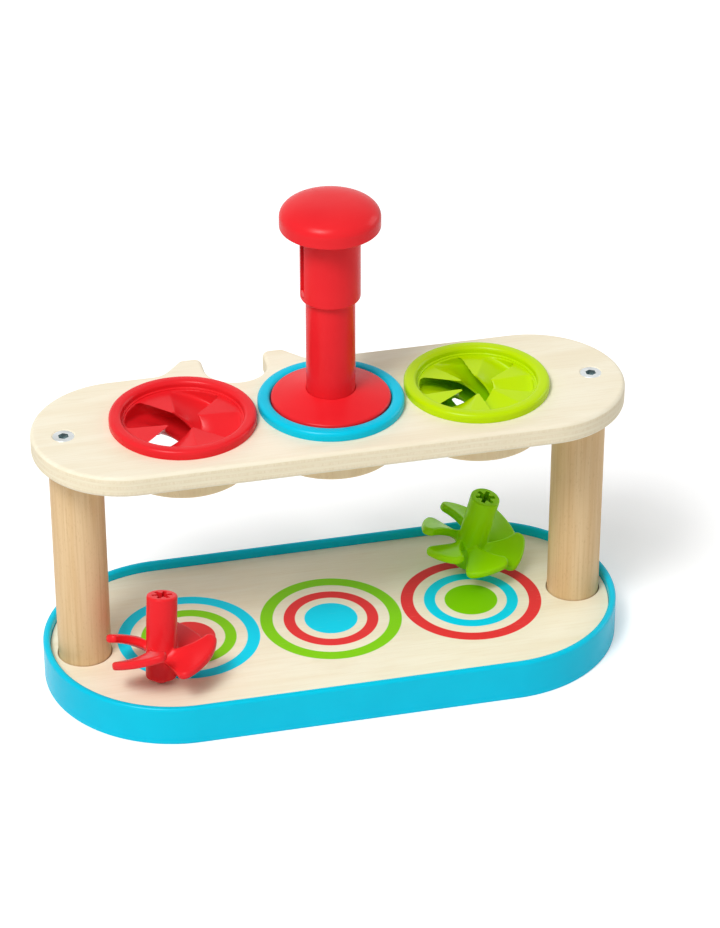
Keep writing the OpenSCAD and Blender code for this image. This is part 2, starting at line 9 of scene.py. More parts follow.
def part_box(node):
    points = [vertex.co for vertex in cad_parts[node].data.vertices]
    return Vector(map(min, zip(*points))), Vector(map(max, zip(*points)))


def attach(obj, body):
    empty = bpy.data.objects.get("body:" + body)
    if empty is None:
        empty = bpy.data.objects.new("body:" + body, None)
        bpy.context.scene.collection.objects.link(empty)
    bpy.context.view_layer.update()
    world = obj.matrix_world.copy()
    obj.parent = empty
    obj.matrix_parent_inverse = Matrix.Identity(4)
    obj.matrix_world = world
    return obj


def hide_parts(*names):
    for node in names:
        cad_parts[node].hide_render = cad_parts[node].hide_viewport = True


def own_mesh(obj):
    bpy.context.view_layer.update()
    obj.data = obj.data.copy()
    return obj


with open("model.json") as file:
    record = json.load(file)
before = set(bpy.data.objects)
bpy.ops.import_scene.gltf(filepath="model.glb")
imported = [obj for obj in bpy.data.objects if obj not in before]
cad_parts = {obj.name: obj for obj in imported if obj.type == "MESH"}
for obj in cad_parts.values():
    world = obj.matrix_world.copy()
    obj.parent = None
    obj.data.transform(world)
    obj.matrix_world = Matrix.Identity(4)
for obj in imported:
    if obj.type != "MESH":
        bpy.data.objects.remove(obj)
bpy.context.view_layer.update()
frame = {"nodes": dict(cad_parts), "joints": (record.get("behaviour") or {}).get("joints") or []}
nodes = frame["nodes"]
mm = 0.001
weld = 0.002 * mm  # points closer than this become one
fullTurn = 2 * math.pi
up = Vector((0, 0, 1))


# hand tools

def deselect():
    bpy.ops.object.select_all(action="DESELECT")


def activate(piece):
    deselect()
    piece.select_set(True)
    bpy.context.view_layer.objects.active = piece


def openEdit(piece):
    activate(piece)
    bpy.ops.object.mode_set(mode="EDIT")


def closeEdit():
    bpy.ops.object.mode_set(mode="OBJECT")


def pick(kind, test):  # selects what passes a test, in edit mode
    bpy.ops.mesh.select_mode(type=kind)
    bpy.ops.mesh.select_all(action="DESELECT")
    mesh = bmesh.from_edit_mesh(bpy.context.edit_object.data)
    for item in {"VERT": mesh.verts, "EDGE": mesh.edges, "FACE": mesh.faces}[kind]:
        if test(item):
            item.select_set(True)
    mesh.select_flush_mode()
    bmesh.update_edit_mesh(bpy.context.edit_object.data)


def pickAll():
    bpy.ops.mesh.select_mode(type="VERT")
    bpy.ops.mesh.select_all(action="SELECT")


def mergeDoubles():
    pickAll()
    bpy.ops.mesh.remove_doubles(threshold=weld)


def closeSkin():  # merges doubles and points the faces outwards
    mergeDoubles()
    bpy.ops.mesh.normals_make_consistent(inside=False)


def turnPicked(angle, centre):  # counterclockwise round an upright axis
    bpy.ops.transform.rotate(value=-angle, orient_axis="Z", center_override=centre)


def arc(centre, radius, start, end, count=8):  # angles in degrees
    angles = [math.radians(start + (end - start) * i / count) for i in range(count + 1)]
    return [Vector(centre) + radius * Vector((math.cos(a), math.sin(a))) for a in angles]


def softCorners(corners, count=6):  # (radius, height, rounding) corners to a chain of points
    chain = []
    for i, corner in enumerate(corners):
        here = Vector(corner[:2])
        rounding = corner[2] if len(corner) > 2 else 0
        if rounding == 0:
            chain.append(here)
            continue
        back = (Vector(corners[i - 1][:2]) - here).normalized()
        on = (Vector(corners[(i + 1) % len(corners)][:2]) - here).normalized()
        half = back.angle(on) / 2
        centre = here + (back + on).normalized() * rounding / math.sin(half)
        start = here + back * rounding / math.tan(half) - centre
        sweep = math.pi - 2 * half
        side = 1 if back.x * on.y - back.y * on.x < 0 else -1
        for k in range(count + 1):
            chain.append(centre + Matrix.Rotation(side * sweep * k / count, 2) @ start)
    return chain


def drawChain(name, points):  # one vertex extruded from point to point, left in edit mode
    deselect()
    bpy.ops.mesh.primitive_plane_add(size=mm, location=(0, 0, 0))
    piece = bpy.context.active_object
    piece.name = piece.data.name = name
    bpy.ops.object.mode_set(mode="EDIT")
    pickAll()
    bpy.ops.mesh.merge(type="CENTER")
    pickAll()
    bpy.ops.transform.translate(value=points[0])
    for before, after in zip(points, points[1:]):
        bpy.ops.mesh.extrude_vertices_move(TRANSFORM_OT_translate={"value": after - before})
    return piece


def lathe(name, corners, at=(0, 0), steps=96, ring=True):  # a section spun round an upright axis
    chain = softCorners(corners)
    if ring:
        chain.append(chain[0])
    axis = Vector((at[0], at[1], 0))
    piece = drawChain(name, [axis + Vector((p.x, 0, p.y)) for p in chain])
    pickAll()
    bpy.ops.mesh.spin(steps=steps, angle=fullTurn, center=axis, axis=up)
    closeSkin()
    closeEdit()
    return piece


def drawFace(name, points):  # a closed chain filled with one face, left in edit mode
    piece = drawChain(name, points + points[:1])
    mergeDoubles()
    pickAll()
    bpy.ops.mesh.edge_face_add()
    return piece


def plate(name, outline, low, high):  # a flat outline raised to a solid
    piece = drawFace(name, [Vector((p[0], p[1], low)) for p in outline])
    bpy.ops.mesh.extrude_region_move(TRANSFORM_OT_translate={"value": (0, 0, high - low)})
    closeSkin()
    closeEdit()
    return piece


def isLevel(edge):
    return abs(edge.verts[0].co.z - edge.verts[1].co.z) < 0.01 * mm


def softenPlate(piece, rounding, segments):  # rounds its upper and lower edges, left in edit mode
    openEdit(piece)
    pick("EDGE", isLevel)
    bpy.ops.mesh.bevel(offset=rounding, segments=segments, affect="EDGES")
    closeSkin()


def cutAcross(where, normal):  # a line of edges all round the piece
    pickAll()
    bpy.ops.mesh.bisect(plane_co=where, plane_no=normal)


def combine(piece, tool, operation):
    activate(piece)
    step = piece.modifiers.new("combine", "BOOLEAN")
    step.operation = operation
    step.object = tool
    step.solver = "EXACT"
    bpy.ops.object.modifier_apply(modifier=step.name)
    bpy.data.objects.remove(tool)


def joinPieces(piece, *others):
    activate(piece)
    for other in others:
        other.select_set(True)
    bpy.ops.object.join()


def fuse(piece, voxel, smooth, keep):  # one skin over pieces that overlap, with soft inner corners
    activate(piece)
    for kind, settings in (
        ("REMESH", {"mode": "VOXEL", "voxel_size": voxel}),
        ("SMOOTH", {"factor": 0.5, "iterations": smooth}),
        ("DECIMATE", {"ratio": keep}),
    ):
        step = piece.modifiers.new(kind.lower(), kind)
        for key, value in settings.items():
            setattr(step, key, value)
        bpy.ops.object.modifier_apply(modifier=step.name)


def dress(piece, body, slot, finish, *replaced, angle=35, flatFaces=True):
    activate(piece)
    bpy.ops.object.shade_smooth_by_angle(angle=math.radians(angle))
    if flatFaces:  # wide faces keep an even shade beside their rounded edges
        even = piece.modifiers.new("even", "WEIGHTED_NORMAL")
        even.keep_sharp = True
        bpy.ops.object.modifier_apply(modifier=even.name)
    piece.data.materials.clear()
    piece.data.materials.append(finish)
    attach(piece, body)
    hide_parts(*replaced)


def span(node):  # centre, half size, lowest and highest height of a CAD node
    low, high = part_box(node)
    return {"at": (low + high) / 2, "half": (high - low) / 2, "low": low.z, "high": high.z}


# shader tools

class Wire:  # an output socket; sums and products on it add Math nodes
    def __init__(self, tree, socket):
        self.tree = tree
        self.socket = socket

    def node(self, kind, settings=None, links=None, out=0):
        made = self.tree.nodes.new(kind)
        for key, value in (settings or {}).items():
            setattr(made, key, value)
        for key, value in (links or {}).items():
            if isinstance(value, Wire):
                self.tree.links.new(value.socket, made.inputs[key])
            else:
                made.inputs[key].default_value = value
        return Wire(self.tree, made.outputs[out])

    def maths(self, operation, *values):
        return self.node("ShaderNodeMath", {"operation": operation}, dict(enumerate(values)))

    def __add__(self, other):
        return self.maths("ADD", self, other)

    def __sub__(self, other):
        return self.maths("SUBTRACT", self, other)

    def __rsub__(self, other):
        return self.maths("SUBTRACT", other, self)

    def __mul__(self, other):
        return self.maths("MULTIPLY", self, other)

    def __truediv__(self, other):
        return self.maths("DIVIDE", self, other)

    __radd__ = __add__
    __rmul__ = __mul__

    def step(self, low, high):  # 0 below low, 1 above high, smooth between
        return self.node(
            "ShaderNodeMapRange", {"interpolation_type": "SMOOTHSTEP"},
            {"Value": self, "From Min": low, "From Max": high})

    def stretched(self, scale):
        return self.node("ShaderNodeMapping", None, {"Vector": self, "Scale": scale})

    def noise(self, scale, detail=2.0, rough=0.5, distortion=0.0):
        return self.node(
            "ShaderNodeTexNoise", None,
            {"Vector": self, "Scale": scale, "Detail": detail, "Roughness": rough,
             "Distortion": distortion})

    def mix(self, first, second):  # this wire is the factor between two colours
        return self.node(
            "ShaderNodeMix", {"data_type": "RGBA"}, {0: self, 6: first, 7: second}, out=2)

    def axis(self, name):
        return self.node("ShaderNodeSeparateXYZ", None, {"Vector": self}, out="XYZ".index(name))

    def bump(self, strength, distance):
        return self.node(
            "ShaderNodeBump", None, {"Height": self, "Strength": strength, "Distance": distance})


def tone(red, green, blue):  # a colour as seen on a screen, 0 to 255
    def linear(value):
        share = value / 255
        return share / 12.92 if share <= 0.04045 else ((share + 0.055) / 1.055) ** 2.4
    return (linear(red), linear(green), linear(blue), 1)


def newFinish(name, **constants):  # a material, its place coordinates and a call that feeds its shader
    finish = bpy.data.materials.new(name)
    finish.use_nodes = True
    tree = finish.node_tree
    shader = tree.nodes["Principled BSDF"]
    for key, value in constants.items():
        shader.inputs[key.replace("_", " ")].default_value = value
    place = tree.nodes.new("ShaderNodeTexCoord")

    def feed(**wires):
        for key, wire in wires.items():
            tree.links.new(wire.socket, shader.inputs[key.replace("_", " ")])
    return finish, Wire(tree, place.outputs["Object"]), feed


def rayKind(tree, name):  # 1 for rays of that kind
    return Wire(tree, tree.nodes.new("ShaderNodeLightPath").outputs[name])


def grey(level):
    return (level, level, level, 1)


# finishes

boardSpan = span("base_board")
platSpan = span("platform")
plasticLook = {"rough": 0.22, "roughVary": 0.08, "shine": 0.12, "cloud": 30, "speck": 1400, "wave": 60,
               "waves": 0.5, "specks": 0.02, "bump": 0.10, "bumpDeep": 0.2 * mm}


def mouldedPlastic(name, colour, shade, deep=None):  # deep is a painted shade: a greener colour painted further down, where the cup's hollow is in shade
    finish, place, feed = newFinish(name, IOR=1.5, Specular_IOR_Level=plasticLook["shine"])
    cloud = place.noise(plasticLook["cloud"], 2)
    speck = place.noise(plasticLook["speck"], 2)
    relief = place.noise(plasticLook["wave"], 1) * plasticLook["waves"] + speck * plasticLook["specks"]
    skin = cloud.step(0.35, 0.75).mix(colour, shade)
    if deep:
        # painted shade: lower down the colour turns to the deep one, for the shade in the cup's hollow
        skin = place.axis("Z").step(deep["low"], deep["high"]).mix(deep["colour"], skin)
    feed(
        Base_Color=skin,
        Roughness=plasticLook["rough"] + plasticLook["roughVary"] * (cloud - 0.5 + speck * 0.5),
        Normal=relief.bump(plasticLook["bump"], plasticLook["bumpDeep"]))
    return finish


# painted shade for the green cup: a greener colour low in its hollow, where it is in shade
cupPaintedShade = {"colour": tone(138, 206, 0), "low": platSpan["high"] - 16 * mm, "high": platSpan["high"] - 2 * mm}
redPlastic = mouldedPlastic("redPlastic", tone(231, 38, 44), tone(226, 32, 40))
bluePlastic = mouldedPlastic("bluePlastic", tone(0, 196, 226), tone(0, 190, 221))
greenPlastic = mouldedPlastic("greenPlastic", tone(188, 223, 0), tone(182, 218, 0), cupPaintedShade)
# painted shade: a greener copy of the green plastic for the green top, the colour that plastic shows in
# shade
shadedGreenPlastic = mouldedPlastic("shadedGreenPlastic", tone(153, 221, 0), tone(147, 215, 0))
whitePlastic = mouldedPlastic("whitePlastic", tone(226, 226, 222), tone(218, 218, 214))

woodLook = {"shine": 0.18, "bump": 0.10, "bumpDeep": 0.25 * mm}
birch = {"pale": tone(242, 235, 213), "warm": tone(237, 227, 201), "fibre": tone(228, 213, 182),
         "fibres": 0.22, "pore": tone(206, 184, 148), "pores": 0.14}
plyLook = {"layers": 7, "glue": 0.10, "glued": 0.10, "glueLine": tone(176, 146, 106),
           "long": (tone(238, 228, 201), tone(233, 221, 191)),
           "end": (tone(236, 224, 196), tone(229, 215, 183))}


def birchFace(place):  # pale veneer with its figure along X; returns its colour and its pores
    figure = place.stretched((5, 34, 34)).noise(2.6, 4, 0.55, 0.7)
    fibre = place.stretched((26, 620, 620)).noise(1.6, 3)
    pores = place.stretched((90, 1500, 1500)).noise(1.2, 2).step(0.62, 0.74)
    pale = figure.step(0.32, 0.70).mix(birch["pale"], birch["warm"])
    lined = (fibre.step(0.42, 0.72) * birch["fibres"]).mix(pale, birch["fibre"])
    return (pores * birch["pores"]).mix(lined, birch["pore"]), fibre + pores * 0.5


def makePlywood(name, low, high):  # birch faces with the sawn layers between them
    finish, place, feed = newFinish(name, IOR=1.45, Specular_IOR_Level=woodLook["shine"])
    face, grain = birchFace(place)
    layer = (place.axis("Z") - low) / (high - low) * plyLook["layers"]
    index = layer.maths("FLOOR", layer)
    within = layer - index
    crossed = (index * 0.5).maths("FRACT", index * 0.5).step(0.2, 0.4)
    endGrain = place.stretched((900, 900, 300)).noise(1.1, 2)
    longGrain = place.stretched((40, 40, 900)).noise(1.4, 3)
    sawn = crossed.mix(
        longGrain.step(0.3, 0.75).mix(*plyLook["long"]), endGrain.step(0.3, 0.75).mix(*plyLook["end"]))
    glue = 1 - (within - 0.5).maths("ABSOLUTE", within - 0.5).step(0.5, 0.5 - plyLook["glue"])
    edge = (glue * plyLook["glued"]).mix(sawn, plyLook["glueLine"])
    inner = layer.step(0.75, 0.95) * (1 - layer.step(plyLook["layers"] - 0.95, plyLook["layers"] - 0.75))
    feed(
        Base_Color=inner.mix(face, edge),
        Roughness=0.46 + 0.12 * grain,
        Normal=(grain + endGrain * inner).bump(woodLook["bump"], woodLook["bumpDeep"]))
    return finish


plywood = makePlywood("birchPlywood", platSpan["low"], platSpan["high"])
boardPly = makePlywood("boardPlywood", boardSpan["low"], boardSpan["high"])

targets = {
    "pitch": 77.7 * mm, "shift": -0.6 * mm, "disc": 14.3 * mm, "middle": (19.4 * mm, 25.5 * mm),
    "outer": (31.4 * mm, 38.1 * mm), "soft": 0.18 * mm, "shine": 0.12, "worn": 0.08,
    "inks": (("red", "green", "blue"), ("blue", "red", "green"), ("green", "blue", "red")),
    "red": tone(226, 52, 52), "blue": tone(0, 210, 238), "green": tone(128, 203, 4),
}


def makePrintedBoard():  # three targets printed on birch, each from its middle outwards
    finish, place, feed = newFinish("printedBoard", IOR=1.45, Specular_IOR_Level=targets["shine"])
    colour, grain = birchFace(place)
    soft = targets["soft"]
    printed = grain * 0
    for i, inks in enumerate(targets["inks"]):
        middle = ((1 - i) * targets["pitch"] - targets["shift"], 0, 0)
        centred = place.node(
            "ShaderNodeMapping", None, {"Vector": place, "Location": middle, "Scale": (1, 1, 0)})
        away = centred.node("ShaderNodeVectorMath", {"operation": "LENGTH"}, {0: centred}, out=1)
        for ink, (low, high) in zip(inks, ((-soft, targets["disc"]), targets["middle"], targets["outer"])):
            band = away.step(low - soft, low + soft) * (1 - away.step(high - soft, high + soft))
            wornInk = band * (1 - targets["worn"] * grain.step(0.75, 1.1))
            colour = wornInk.mix(colour, targets[ink])
            printed = printed + band
    feed(
        Base_Color=colour,
        Roughness=0.48 + 0.10 * grain - 0.10 * printed,
        Normal=(grain + printed * 0.6).bump(0.08, 0.2 * mm))
    return finish


printedBoard = makePrintedBoard()


dowelLook = {"fleck": tone(166, 120, 76), "flecks": 0.14}


def makeDowel(name, pale, deep, line, lined):  # turned wood, with its grain upright
    finish, place, feed = newFinish(name, IOR=1.45, Specular_IOR_Level=woodLook["shine"])
    figure = place.stretched((120, 120, 5)).noise(1.3, 3, 0.55, 0.4)
    fibre = place.stretched((900, 900, 18)).noise(1.1, 3)
    flecks = place.stretched((900, 900, 260)).noise(1.5, 1).step(0.60, 0.72)
    body = (fibre.step(0.45, 0.75) * lined).mix(figure.step(0.3, 0.72).mix(pale, deep), line)
    feed(
        Base_Color=(flecks * dowelLook["flecks"]).mix(body, dowelLook["fleck"]),
        Roughness=0.45 + 0.14 * fibre,
        Normal=(fibre + flecks * 0.3).bump(woodLook["bump"], woodLook["bumpDeep"]))
    return finish


dowel = makeDowel("turnedDowel", tone(229, 199, 155), tone(219, 184, 136), tone(198, 157, 109), 0.34)
ringWood = makeDowel("turnedRing", tone(236, 216, 176), tone(231, 208, 166), tone(214, 186, 142), 0.16)


def brushedMetal(name, bright, dull, rough, metallic):
    finish, place, feed = newFinish(name, Metallic=metallic)
    brush = place.stretched((300, 300, 2200)).noise(1.5, 3)
    stain = place.noise(160, 3)
    feed(
        Base_Color=stain.step(0.35, 0.75).mix(bright, dull),
        Roughness=rough + 0.16 * brush,
        Normal=brush.bump(0.10, 0.1 * mm))
    return finish


steel = brushedMetal("brushedSteel", tone(222, 226, 226), tone(200, 204, 204), 0.26, 0.8)
# painted shade: a darker steel for the hexagon sockets, standing in for the shade deep in the recess
socketShadeSteel = brushedMetal("paintedSocketShade", tone(158, 176, 178), tone(128, 146, 150), 0.30, 0.8)
brass = brushedMetal("plainBrass", tone(214, 178, 98), tone(190, 150, 76), 0.30, 1.0)
print("finishes made")


# camera at the photograph's place

view = {"turn": -13.181, "height": 32.116, "distance": 1883.591 * mm, "across": 15.002 * mm,
        "upward": 97.617 * mm, "focal": 3487.857, "frame": (720, 928), "sensor": 36, "far": 20}
turn, height = math.radians(view["turn"]), math.radians(view["height"])
backward = Vector((math.sin(turn) * math.cos(height), -math.cos(turn) * math.cos(height), math.sin(height)))
rightward = Vector((math.cos(turn), math.sin(turn), 0))
upward = backward.cross(rightward)
deselect()
bpy.ops.object.camera_add()
camera = bpy.context.active_object
spot = rightward * view["across"] + upward * view["upward"] + backward * view["distance"]
facing = Matrix((rightward, upward, backward)).transposed()
camera.matrix_world = Matrix.Translation(spot) @ facing.to_4x4()
camera.data.sensor_width = view["sensor"]
camera.data.lens = view["focal"] * view["sensor"] / max(view["frame"])
camera.data.clip_end = view["far"]
bpy.context.scene.camera = camera
bpy.context.scene.view_settings.view_transform = "Standard"


# floor, world and lamps

studio = {"world": 0.28, "floor": (tone(238, 238, 238), tone(249, 249, 249)), "floorSize": 8.0,
          "floorRough": 0.9, "floorGlow": 0.28, "aim": Vector((0, 0, 0.12))}
lamps = (
    {"name": "keyLamp", "at": (-1.50, -1.55, 3.10), "size": 0.9, "power": 48.0, "mirrored": True},
    {"name": "broadLamp", "at": (-1.70, -1.75, 3.50), "size": 2.4, "power": 92.0, "mirrored": True},
    {"name": "backLamp", "at": (-0.4, 3.0, 1.1), "size": 2.0, "power": 23.0, "mirrored": False},
    {"name": "sideLamp", "at": (2.7, 0.6, 1.1), "size": 1.4, "power": 14.0, "mirrored": True},
)
deselect()
bpy.ops.mesh.primitive_grid_add(x_subdivisions=4, y_subdivisions=4, size=studio["floorSize"])
floor = bpy.context.active_object
floor.name = "studioFloor"
floorFinish, floorPlace, feedFloor = newFinish(
    "floorPaper", Roughness=studio["floorRough"], Emission_Strength=studio["floorGlow"])
feedFloor(
    Base_Color=floorPlace.noise(3, 2).step(0.3, 0.7).mix(*studio["floor"]),
    Emission_Color=rayKind(floorFinish.node_tree, "Is Camera Ray").mix(grey(0), grey(1)))
floor.data.materials.append(floorFinish)

world = bpy.data.worlds.new("studioWorld")
bpy.context.scene.world = world
world.use_nodes = True
worldTree = world.node_tree
seen = rayKind(worldTree, "Is Camera Ray") + rayKind(worldTree, "Is Glossy Ray")
worldColour = seen.mix(grey(studio["world"]), grey(1))
worldTree.links.new(worldColour.socket, worldTree.nodes["Background"].inputs["Color"])

for lamp in lamps:
    deselect()
    bpy.ops.object.light_add(type="AREA", location=lamp["at"])
    light = bpy.context.active_object
    light.name = lamp["name"]
    light.data.size = lamp["size"]
    light.data.energy = lamp["power"]
    light.visible_glossy = lamp["mirrored"]
    aim = Vector(lamp["at"]) - studio["aim"]
    light.rotation_euler = aim.to_track_quat("Z", "Y").to_euler()
print("camera, floor and lamps set")


# base rim: a section spun into a ring, then pulled apart into a long rim

rim = {"wall": 3.8 * mm, "topRound": 1.7 * mm, "footRound": 0.8 * mm, "ledge": 9 * mm,
       "ledgeThick": 3 * mm, "ledgeRound": 0.4 * mm, "steps": 126, "screwHole": 1.7 * mm,
       "headHole": 3.1 * mm, "headDeep": 1.6 * mm, "holeHigh": 5 * mm, "holeSteps": 32}


def pullApart(piece, reach):  # the two halves of a ring move away from each other along X
    openEdit(piece)
    for side in (-1, 1):
        pick("VERT", lambda v: v.co.x * side > 0)
        bpy.ops.transform.translate(value=(side * reach, 0, 0))
    closeEdit()


def makeRim():
    size = span("base_rim")
    outer = size["half"].y
    inner = outer - rim["wall"]
    ledge = inner - rim["ledge"]
    reach = size["half"].x - outer
    piece = lathe("baseRim", [
        (outer, size["low"], rim["footRound"]), (outer, size["high"], rim["topRound"]),
        (inner, size["high"], rim["topRound"]), (inner, rim["ledgeThick"], rim["ledgeRound"]),
        (ledge, rim["ledgeThick"], rim["ledgeRound"]), (ledge, size["low"], rim["ledgeRound"])],
        steps=rim["steps"])
    pullApart(piece, reach)
    for x in (-reach, 0, reach):
        for y in (-1, 1):
            hole = lathe("screwHole", [
                (0, -mm), (rim["headHole"], -mm), (rim["headHole"], 0), (rim["screwHole"], rim["headDeep"]),
                (rim["screwHole"], rim["holeHigh"]), (0, rim["holeHigh"])],
                at=(x, y * (inner - rim["ledge"] / 2)), steps=rim["holeSteps"], ring=False)
            combine(piece, hole, "DIFFERENCE")
    dress(piece, "stand", "blue_plastic", bluePlastic, "base_rim")


makeRim()
print("base rim made")


# legs and the rings under the cups

# an odd boreSteps keeps the bore's corners off the leg's edges
leg = {"edge": 0.8 * mm, "steps": 72, "boltAside": 5.5 * mm, "insert": 4.6 * mm, "insertDeep": 14 * mm,
       "bolt": 3.1 * mm, "boltDeep": 26 * mm, "boreSteps": 37}
ringLook = {"inner": 32.2 * mm, "round": 2.2 * mm, "edge": 0.5 * mm}


def legBore(end, inwards):  # section of the room for a bolt and its insert, from inside to the leg's end
    bolt, insert = end + inwards * leg["boltDeep"], end + inwards * leg["insertDeep"]
    return [(0, bolt), (leg["bolt"], bolt), (leg["bolt"], insert), (leg["insert"], insert)]


def makeLeg(name, node):
    size = span(node)
    radius, x, low, high = size["half"].x, size["at"].x, size["low"], size["high"]
    piece = lathe(name, legBore(low, 1) + [
        (leg["insert"], low), (radius, low, leg["edge"]), (radius, high, leg["edge"]), (0, high)],
        at=(x, 0), steps=leg["steps"], ring=False)
    headBore = lathe(
        "headBore", legBore(high, -1) + [(leg["insert"], high + mm), (0, high + mm)],
        at=(x + math.copysign(leg["boltAside"], x), 0), steps=leg["boreSteps"], ring=False)
    combine(piece, headBore, "DIFFERENCE")
    dress(piece, "stand", "dowel", dowel, node)


def makeSupportRing(name, node):
    size = span(node)
    outer, inner = size["half"].x, ringLook["inner"]
    piece = lathe(name, [
        (inner, size["low"], ringLook["edge"]), (outer, size["low"], ringLook["round"]),
        (outer, size["high"]), (inner, size["high"])], at=size["at"].xy)
    dress(piece, "stand", "dowel", ringWood, node)


makeLeg("leftLeg", "left_leg")
makeLeg("rightLeg", "right_leg")
makeSupportRing("leftRing", "left_ring")
makeSupportRing("middleRing", "middle_ring")
makeSupportRing("rightRing", "right_ring")
print("legs and rings made")


# platform: a long plate with round ends, a fork at the back and holes for the cups and bolts

deck = {"width": 96.4 * mm, "edge": 2.2 * mm, "cupHole": 32.2 * mm, "boltX": 139.7 * mm,
        "boltHead": 6.1 * mm, "boltDeep": 3.4 * mm, "boltHole": 3.1 * mm, "boltSteps": 48,
        "endSteps": 60, "edgeSteps": 5, "cutAside": 0.7 * mm}
fork = {"x": -40.5 * mm, "notch": 33 * mm, "notchFoot": 33 * mm, "reach": 61.5 * mm, "horn": 11 * mm,
        "spread": 12 * mm, "round": 4 * mm, "fillet": 11 * mm}
cupPlaces = [span(node)["at"].xy for node in ("red_cup", "blue_cup", "green_cup")]


def deckOutline(size):  # plan of the platform, round its right end, along the back and round its left end
    half, steps = deck["width"] / 2, deck["endSteps"]
    end = size["half"].x - half
    notch, reach, rounding = fork["notch"] / 2, fork["reach"], fork["round"]
    notchEnd = fork["notchFoot"] + notch

    def horn(side):  # back edge, fillet, horn and its side of the notch, seen from the fork's middle
        tip = Vector((notch + fork["horn"], reach))
        foot = Vector((tip.x + fork["spread"], half))
        flank = math.atan2(tip.y - foot.y, tip.x - foot.x)
        inwards = Vector((math.cos(flank / 2), math.sin(flank / 2))) / math.sin(flank / 2)
        slant = math.degrees(flank)
        chain = arc(foot + fork["fillet"] * inwards, fork["fillet"], 270, 90 + slant)
        chain += arc(tip - rounding * inwards, rounding, slant - 90, 90)
        chain += arc((notch + rounding, reach - rounding), rounding, 90, 180)
        chain += arc((0, notchEnd), notch, 0, -90 if side > 0 else -84, 14)  # one side has the lowest point
        return [Vector((fork["x"] + side * p.x, p.y)) for p in chain]
    back = horn(1) + list(reversed(horn(-1)))
    return arc((end, 0), half, -90, 90, steps) + back + arc((-end, 0), half, 90, 270, steps)


def makePlatform():
    size = span("platform")
    low, high = size["low"], size["high"]
    piece = plate("platformBoard", deckOutline(size), low, high)
    softenPlate(piece, deck["edge"], deck["edgeSteps"])
    for x in [at.x for at in cupPlaces] + [-deck["boltX"], fork["x"], deck["boltX"]]:
        cutAcross((x + deck["cutAside"], 0, 0), (1, 0, 0))  # so that no face has a hole in it
    cutAcross((0, deck["cutAside"], 0), (0, 1, 0))
    closeEdit()
    for at in cupPlaces:
        hole = lathe("cupHole", [
            (0, low - mm), (deck["cupHole"], low - mm), (deck["cupHole"], high + mm), (0, high + mm)],
            at=at, ring=False)
        combine(piece, hole, "DIFFERENCE")
    for x in (-deck["boltX"], deck["boltX"]):
        hole = lathe("boltHole", [
            (0, low - mm), (deck["boltHole"], low - mm), (deck["boltHole"], high - deck["boltDeep"]),
            (deck["boltHead"], high), (deck["boltHead"], high + mm), (0, high + mm)],
            at=(x, 0), steps=deck["boltSteps"], ring=False)
        combine(piece, hole, "DIFFERENCE")
    dress(piece, "stand", "plywood", plywood, "platform")


makePlatform()
print("platform made")


# bolts in the platform: one countersunk head and shank with a hexagon socket, and its copy

bolt = {"head": 5.8 * mm, "shank": 3 * mm, "headDeep": 3.4 * mm, "length": 33 * mm, "sunk": 0.25 * mm,
        "hexagon": 2.9 * mm, "hexDeep": 3.6 * mm, "edge": 0.35 * mm, "endRound": 0.6 * mm, "steps": 48}


def makePlatformBolts():
    face = platSpan["high"] - bolt["sunk"]
    end = face - bolt["length"]

    def inSocket(part):  # faces of the hexagon, for a painted shade: a darker steel that stands in for the shade in the socket
        centre = part.calc_center_median()
        away = math.hypot(abs(centre.x) - deck["boltX"], centre.y)
        return away < bolt["hexagon"] and face - 1.01 * bolt["hexDeep"] < centre.z < face - 0.1 * mm
    piece = lathe("platformBolts", [
        (0, end), (bolt["shank"], end, bolt["endRound"]), (bolt["shank"], face - bolt["headDeep"]),
        (bolt["head"], face - bolt["edge"], bolt["edge"] / 2),
        (bolt["head"] - bolt["edge"], face, bolt["edge"] / 2), (0, face)],
        at=(deck["boltX"], 0), steps=bolt["steps"], ring=False)
    deselect()
    bpy.ops.mesh.primitive_cylinder_add(
        vertices=6, radius=bolt["hexagon"], depth=2 * bolt["hexDeep"], location=(deck["boltX"], 0, face))
    combine(piece, bpy.context.active_object, "DIFFERENCE")
    openEdit(piece)
    pickAll()
    bpy.ops.mesh.duplicate()
    bpy.ops.transform.translate(value=(-2 * deck["boltX"], 0, 0))
    closeSkin()
    closeEdit()
    dress(piece, "stand", "steel", steel, "platform_bolts", angle=30)
    # the socket faces get the painted shade
    piece.data.materials.append(socketShadeSteel)
    openEdit(piece)
    pick("FACE", inSocket)
    piece.active_material_index = 1
    bpy.ops.object.material_slot_assign()
    closeEdit()


makePlatformBolts()
print("platform bolts made")


# cups: a turned lip and sleeve round a toothed body, whose teeth wind down like a screw

cup = {"lead": 60 * mm, "lipRound": 2.2 * mm, "recess": 31.4 * mm, "body": 32.0 * mm, "floorDown": 4.4 * mm,
       "wallIn": 29.8 * mm, "tip": 9 * mm, "tipWide": 1.6 * mm, "share": 0.43, "fillet": 3 * mm,
       "filletSteps": 6, "stepHigh": 0.7 * mm, "stepWide": 0.8 * mm, "stepDeep": 1.5 * mm, "foot": 0.6 * mm,
       "edge": 0.3 * mm, "fineEdge": 0.2 * mm, "overlap": 0.1 * mm, "steps": 48, "ringSteps": 72,
       "voxel": 0.45 * mm, "smooth": 9, "keep": 0.5}
blueSlots = {"teeth": 5, "turned": 18}  # the loaded top takes its fins from these
lipBase = platSpan["high"]


